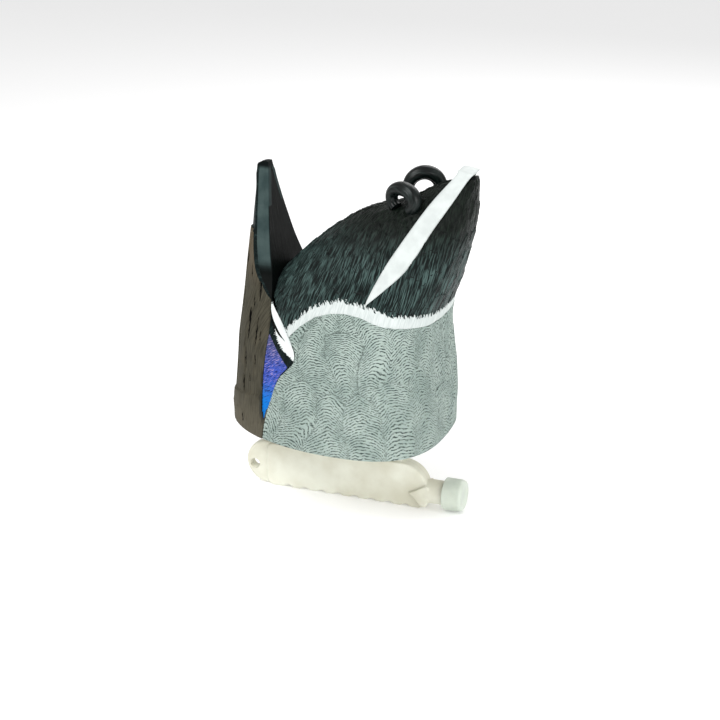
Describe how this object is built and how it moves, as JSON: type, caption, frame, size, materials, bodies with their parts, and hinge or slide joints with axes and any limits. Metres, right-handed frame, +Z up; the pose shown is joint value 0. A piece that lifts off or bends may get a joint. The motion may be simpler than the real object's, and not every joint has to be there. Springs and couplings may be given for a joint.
{
  "type": "floating duck decoy",
  "caption": "Hollow tail-up feeding duck decoy with folded wings, tail fan and curled tail feathers, on a hollow ballast keel that is filled through a screw cap and has a line eye.",
  "frame": {"origin": "middle of the keel's foot, on the surface that the decoy stands on", "axes": "+Z up towards the tail; +X towards the bird's belly side and the keel's cap; +Y towards the bird's right side"},
  "size_m": [0.2154, 0.16, 0.304],
  "materials": {
    "body_paint": "matt paint on carved feathers: grey-green flanks, white band, black rump",
    "wing_paint": "matt brown and slate paint with a blue and violet patch",
    "tail_paint": "matt white paint on the edge, black between",
    "curl_paint": "glossy near-black",
    "keel_plastic": "unpainted moulded plastic",
    "cap_plastic": "unpainted moulded plastic",
    "pan_plastic": "unpainted moulded plastic",
    "liner_plastic": "foamed polyethylene",
    "gasket_rubber": "black rubber",
    "screw_steel": "stainless steel"
  },
  "bodies": {
    "decoy": {"body_shell": "body_paint", "folded_wings": "wing_paint", "tail_fan": "tail_paint", "tail_curl_left": "curl_paint", "tail_curl_right": "curl_paint", "hull_pan": "pan_plastic", "pan_gasket": "gasket_rubber", "vent_plug": "gasket_rubber", "keel_bottle": "keel_plastic", "pan_screw_1": "screw_steel", "pan_screw_2": "screw_steel", "pan_screw_3": "screw_steel", "pan_screw_4": "screw_steel", "pan_screw_5": "screw_steel", "pan_screw_6": "screw_steel", "pan_screw_7": "screw_steel", "pan_screw_8": "screw_steel", "keel_bolt_rear": "screw_steel", "keel_nut_rear": "screw_steel", "keel_bolt_front": "screw_steel", "keel_nut_front": "screw_steel"},
    "liner": {"cap_liner": "liner_plastic"},
    "cap": {"keel_cap": "cap_plastic"}
  },
  "joints": [
    {"name": "cap_rise", "type": "slide", "parent": "decoy", "child": "liner", "axis": [1, 0, 0], "range_m": [0, 0.0201]},
    {"name": "cap_turn", "type": "hinge", "parent": "liner", "child": "cap", "pos_m": [0.0974, 0, 0.015], "axis": [1, 0, 0], "range_deg": [0, 1800]}
  ],
  "couplings": [
    {"joint": "cap_rise", "follows": "cap_turn", "m_per_rad": 0.00063662}
  ]
}
